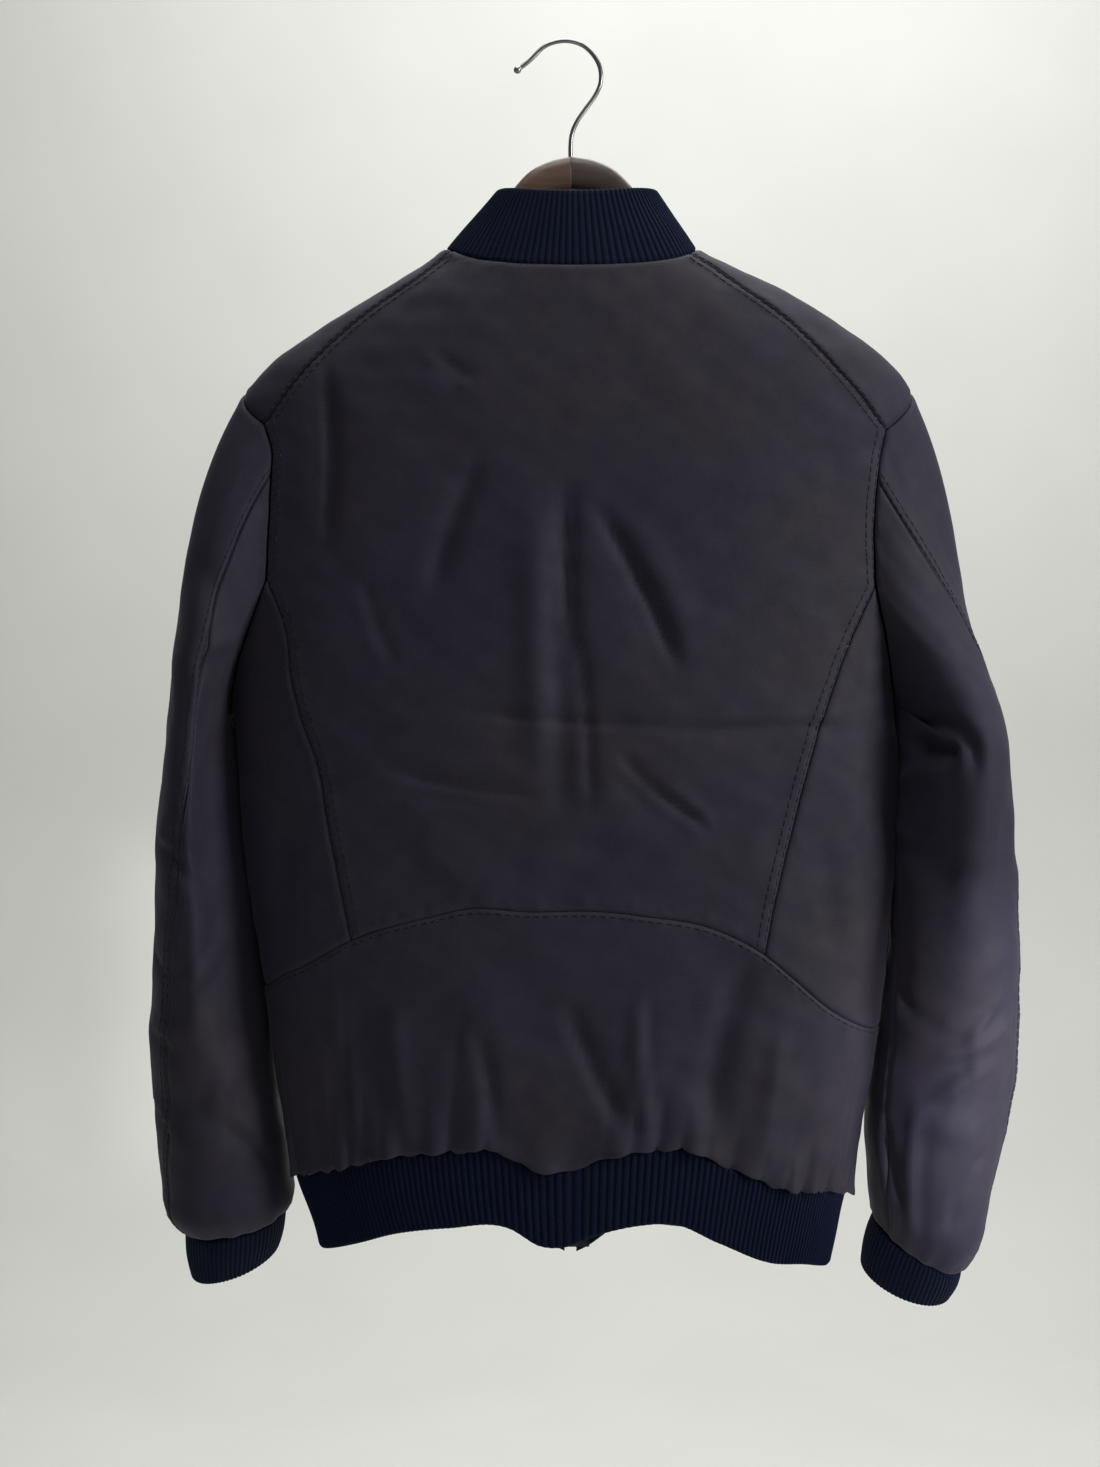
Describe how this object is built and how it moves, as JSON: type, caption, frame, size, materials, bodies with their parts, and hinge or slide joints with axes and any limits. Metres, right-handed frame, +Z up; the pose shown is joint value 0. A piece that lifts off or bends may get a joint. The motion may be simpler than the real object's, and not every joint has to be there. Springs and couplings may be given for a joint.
{
  "type": "bomber jacket on a coat hanger",
  "caption": "Zipped bomber jacket in dark cloth with rib-knit collar, hem and cuffs, hanging on a wooden contour hanger with a wire hook.",
  "frame": {"origin": "inner top of the hanger's hook, where the rail would touch it", "axes": "+Z up, the jacket's front faces -Y and its back +Y, +X is the wearer's left"},
  "size_m": [0.614, 0.1497, 0.8992],
  "materials": {
    "body_cloth": "charcoal cotton twill, matt",
    "rib_knit": "navy rib knit",
    "zip_tape": "woven zip tape",
    "zip_metal": "dark plated zip metal",
    "walnut": "dark walnut, satin lacquer",
    "hook_wire": "gunmetal plated wire"
  },
  "bodies": {
    "root": {"back": "body_cloth", "back_lower": "body_cloth", "side_back_left": "body_cloth", "side_back_right": "body_cloth", "front_left": "body_cloth", "front_right": "body_cloth", "sleeve_upper_left": "body_cloth", "sleeve_upper_right": "body_cloth", "sleeve_under_left": "body_cloth", "sleeve_under_right": "body_cloth", "hem_tab_left": "body_cloth", "hem_tab_right": "body_cloth", "collar_rib": "rib_knit", "hem_rib": "rib_knit", "cuff_left": "rib_knit", "cuff_right": "rib_knit", "zip_tape_left": "zip_tape", "zip_tape_right": "zip_tape", "zip_chain": "zip_metal", "zip_slider": "zip_metal", "hanger_left": "walnut", "hanger_right": "walnut", "hook": "hook_wire"},
    "pull_tab": {"zip_pull": "zip_metal"}
  },
  "joints": [
    {"name": "pull_tab_hinge", "type": "hinge", "parent": "root", "child": "pull_tab", "pos_m": [-0.004, -0.06747, -0.24324], "axis": [-1, 0, 0], "range_deg": [0, 150]}
  ]
}
